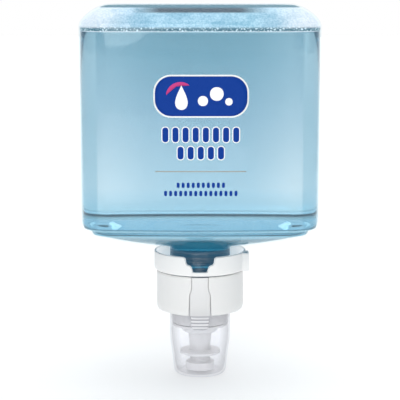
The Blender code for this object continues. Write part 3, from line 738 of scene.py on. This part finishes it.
def make_pump():
    """Housing, base, stem and nozzle tip, each a section turned round Z with eased corners."""
    housing = turned_ring([
        (7.6, 59.8), (8.0, 59.4), (8.0, 46.4), (15.6, 44.6), (19.6, 44.6), (19.6, 43.1), (15.4, 43.1),
        (15.4, 29.2), (14.1, 29.2), (14.1, 42.6), (13.2, 43.3), (6.5, 44.9), (6.5, 58.3), (1.7, 58.3),
        (1.7, 59.8),
    ])
    stands_for(skin("pump_chamber", [housing], NATURAL), "pump_housing", "pack")
    base = turned_ring([
        (13.7, 31.0), (13.7, 28.9), (15.4, 28.9), (15.4, 27.5), (10.0, 27.5), (10.0, 24.7), (9.3, 23.7),
        (8.4, 23.4), (6.9, 23.4), (6.9, 28.9), (12.5, 28.9), (12.5, 31.0),
    ], 0.4)
    stands_for(skin("chamber_base", [base], NATURAL), "housing_base", "pack")
    stem = turned_ring([
        (6.4, 36.2), (6.4, 22.0), (5.8, 16.0), (5.8, 13.4), (6.5, 12.8), (11.2, 12.8), (11.2, 11.2),
        (5.9, 11.2), (5.9, 11.7), (4.6, 11.7), (4.6, 4.6), (3.4, 4.6), (3.4, 12.0), (4.4, 12.4), (4.4, 36.2),
    ], 0.45)
    stands_for(skin("stem_with_flange", [stem], NATURAL), "drive_stem", "piston")
    tip = turned_ring([
        (5.6, 11.4), (5.6, 6.9), (6.2, 6.4), (7.9, 6.4), (7.9, 2.2), (6.6, 2.2), (6.4, 3.8), (4.8, 3.8),
        (4.5, 2.2), (3.3, 2.2), (3.3, 4.3), (4.9, 4.3), (4.9, 11.4),
    ], 0.5)
    stands_for(skin("outlet_tip", [tip], NATURAL), "nozzle_tip", "piston")


def make_dust_cap():
    """A cup turned round Z: outside down to the base, then inside back up to the rim."""
    outside = [
        (16.8, 40.8), (16.8, 24.0), (16.5, 18.5), (15.5, 12.0), (14.7, 4.4), (14.3, 1.3), (12.9, 0.0),
        (0.02, 0.0),
    ]
    inside = [
        (0.02, 1.7), (3.0, 1.25), (12.6, 1.2), (13.7, 4.6), (14.55, 12.0), (15.55, 18.5), (15.85, 24.0),
        (15.85, 40.8),
    ]
    rounding = [0, 3, 3, 3, 1.5, 1.2, 0.9, 0, 0, 1.5, 1.2, 2, 3, 3, 3, 0]
    outline = smooth_corners(outside + inside, rounding, steps=9)
    cap = skin("clear_cap", [(turned_rows(outline, 220), ("wrap", "loop"))], CLEAR_PP)
    stands_for(cap, "dust_cap", "cap")


def ink_patch(outline, lift):
    """A closed film of ink on the front wall: the flat outline (x, z) is drawn in towards its middle on
    rings, front and back, and y = -(sqrt(R^2 - x^2) - R + depth / 2 + lift) lays it on the crowned wall."""
    middle = outline.mean(axis=0)
    scale = np.concatenate([np.linspace(0.03, 1.0, 10), np.linspace(1.0, 0.03, 10)])
    height = np.concatenate([np.full(10, lift), np.full(10, lift - 0.02)])
    flat = middle + (outline - middle)[None] * scale[:, None, None]
    x, z = flat[..., 0], flat[..., 1]
    y = -(np.sqrt(FRONT_RADIUS**2 - x**2) - FRONT_RADIUS + DEPTH / 2 + height[:, None])
    return np.stack([x, y, z], axis=-1), ("wrap", "ends")


def bar_outline(x, z, width, height, corner):
    """A bar's outline with corners of one radius, anticlockwise seen from the front: a point goes round
    the corner's circle with its angle, and along the straight sides between one corner and the next."""
    a, b = width / 2 - corner, height / 2 - corner
    angle = np.linspace(0, math.pi / 2, 9)
    sides = []
    corners = ((a, b, -1, 0), (-a, b, 0, -1), (-a, -b, 1, 0), (a, -b, 0, 1))
    for number, (right, up, step_x, step_z) in enumerate(corners):
        turn = angle + number * math.pi / 2
        sides.append(np.stack([right + corner * np.cos(turn), up + corner * np.sin(turn)], axis=-1))
        run = np.linspace(0, 2 * (a if step_x else b), 9)[1:-1, None]
        sides.append(sides[-1][-1] + run * np.array([step_x, step_z]))
    return np.concatenate(sides) + np.array([x, z])


def drop_outline(x, z, size):
    """A water drop: x = sin t * sin(t / 2)^1.5, z = cos t, with its point on top."""
    t = np.linspace(0.0, 2 * math.pi, 64, endpoint=False)[::-1]
    return np.stack([x + 0.72 * size * np.sin(t) * np.sin(t / 2) ** 1.5, z + size * np.cos(t)], axis=-1)


def stroke_outline(x, z, radius, start, end, thick):
    """An arc's stroke about (x, z): its half thickness is thick * sqrt(sin(pi s)) along the arc."""
    s = np.linspace(0, 1, 30)
    angle = np.radians(start + (end - start) * s)
    half = thick * np.sqrt(np.clip(np.sin(math.pi * s), 0.0, 1.0))
    direction = np.stack([np.cos(angle), np.sin(angle)], axis=-1)
    outer = np.array([x, z]) + (radius + half)[:, None] * direction
    inner = np.array([x, z]) + (radius - half)[:, None] * direction
    return np.vstack([outer, inner[-2:0:-1]])


def make_print():
    """Generic print on the front: a blue field with a drop and a stroke, rows of upright round-ended
    bars under it, a tan rule, and two rows of small bars. White ink lies under the blue."""
    white, blue, pink, tan = [], [], [], []
    white.append(ink_patch(bar_outline(0.6, 157.4, 49.0, 22.0, 9.0), 0.02))
    blue.append(ink_patch(bar_outline(0.6, 157.4, 47.4, 20.4, 8.4), 0.035))
    white.append(ink_patch(drop_outline(-9.5, 156.8, 6.4), 0.05))
    for x, z, size in ((1.5, 155.0, 2.6), (8.6, 158.6, 3.5), (14.8, 154.6, 1.9)):
        white.append(ink_patch(bar_outline(x, z, 2 * size, 2 * size, 0.95 * size), 0.05))
    pink.append(ink_patch(stroke_outline(-9.5, 156.0, 8.0, 60, 165, 0.8), 0.05))
    for z, tall, width, pitch, count, rim in (
        (137.6, 7.6, 3.1, 5.2, 8, 0.5), (128.2, 6.6, 3.1, 5.2, 5, 0.5), (111.5, 2.8, 1.5, 2.6, 10, 0),
        (107.2, 2.8, 1.5, 2.6, 15, 0),
    ):
        for number in range(count):
            x = 0.4 + pitch * (number - (count - 1) / 2)
            corner = 0.47 * width
            blue.append(ink_patch(bar_outline(x, z, width, tall, corner), 0.035))
            if rim:
                backing = bar_outline(x, z, width + 2 * rim, tall + 2 * rim, corner + rim)
                white.append(ink_patch(backing, 0.02))
    tan.append(ink_patch(bar_outline(0.4, 118.6, 47.0, 0.5, 0.2), 0.035))
    for name, patches, hex_code in (
        ("white_ink", white, "#F4F8FA"), ("blue_ink", blue, "#04388F"), ("pink_ink", pink, "#C64182"),
        ("tan_ink", tan, "#A3A096"),
    ):
        print_layer = skin(name, patches, screen_ink("screen_printed_" + name, hex_code))
        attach(print_layer, "pack")


def make_studio():
    """Plain pale floor, a white surround that darkens to the sides, and two soft lights."""
    mesh = bpy.data.meshes.new("floor")
    reach = 6.0
    corners = [(-reach, -reach, 0), (reach, -reach, 0), (reach, reach, 0), (-reach, reach, 0)]
    mesh.from_pydata(corners, [], [(0, 1, 2, 3)])
    floor = bpy.data.objects.new("floor", mesh)
    material, tree, shader = new_material("pale_floor", Base_Color=colour("#D6D9DB"), Roughness=0.6)
    shader.inputs["Specular IOR Level"].default_value = 0.1
    shader.inputs["Emission Color"].default_value = colour("#FFFFFF")
    shader.inputs["Emission Strength"].default_value = 0.36
    mesh.materials.append(material)
    bpy.context.scene.collection.objects.link(floor)

    world = bpy.data.worlds.new("studio")
    bpy.context.scene.world = world
    world.use_nodes = True
    tree = world.node_tree
    place = add_node(tree, "ShaderNodeTexCoord")
    split = add_node(tree, "ShaderNodeSeparateXYZ", {"Vector": place.outputs["Generated"]})
    sideways = add_node(tree, "ShaderNodeMath", {0: split.outputs["X"]}, operation="ABSOLUTE")
    level = add_node(tree, "ShaderNodeValToRGB", {"Fac": sideways}, stops=[
        (0.0, 1.0), (0.22, 1.0), (0.6, 0.6), (1.0, 0.42),
    ])
    background = tree.nodes["Background"]
    tree.links.new(level.outputs["Color"], background.inputs["Color"])
    background.inputs["Strength"].default_value = 1.0

    for name, direction, power, spread in (
        ("overhead_light", (0.1, 0.2, 1.0), 0.8, 70.0),
        ("front_light", (-0.25, -1.0, 0.35), 0.5, 40.0),
    ):
        light = bpy.data.lights.new(name, "SUN")
        light.energy = power
        light.angle = math.radians(spread)
        lamp = bpy.data.objects.new(name, light)
        lamp.rotation_euler = Vector(direction).to_track_quat("Z", "Y").to_euler()
        bpy.context.scene.collection.objects.link(lamp)


def make_camera():
    """A long lens in front of the pack, looking slightly down at the middle of its height."""
    data = bpy.data.cameras.new("camera")
    data.lens = CAMERA_LENS
    data.sensor_width = 36.0
    camera = bpy.data.objects.new("camera", data)
    tilt = math.radians(CAMERA_TILT)
    aim = Vector((0.0, 0.0, CAMERA_AIM * MM))
    camera.location = aim + Vector((0.0, -math.cos(tilt), math.sin(tilt))) * CAMERA_DISTANCE
    camera.rotation_euler = (math.pi / 2 - tilt, 0.0, 0.0)
    bpy.context.scene.collection.objects.link(camera)
    bpy.context.scene.camera = camera


def finish_inner_parts():
    """The pieces inside the pump keep their solids and get the material that each is made of."""
    for names, material in (
        (("liquid_piston", "air_piston", "mixing_insert", "foam_cartridge"), NATURAL),
        (("neck_gasket", "inlet_valve", "piston_seal", "air_valve"), SEAL),
        (("upper_screen", "lower_screen"), SCREEN),
        (("outlet_ball",), BALL),
    ):
        for name in names:
            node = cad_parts[name]
            node.data.materials.clear()
            node.data.materials.append(material)


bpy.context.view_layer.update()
make_bottle()
make_soap()
make_froth()
make_lock_ring()
make_collar()
make_release_tab()
make_pump()
make_dust_cap()
make_print()
finish_inner_parts()
make_studio()
make_camera()
bpy.context.scene.view_settings.view_transform = "Standard"
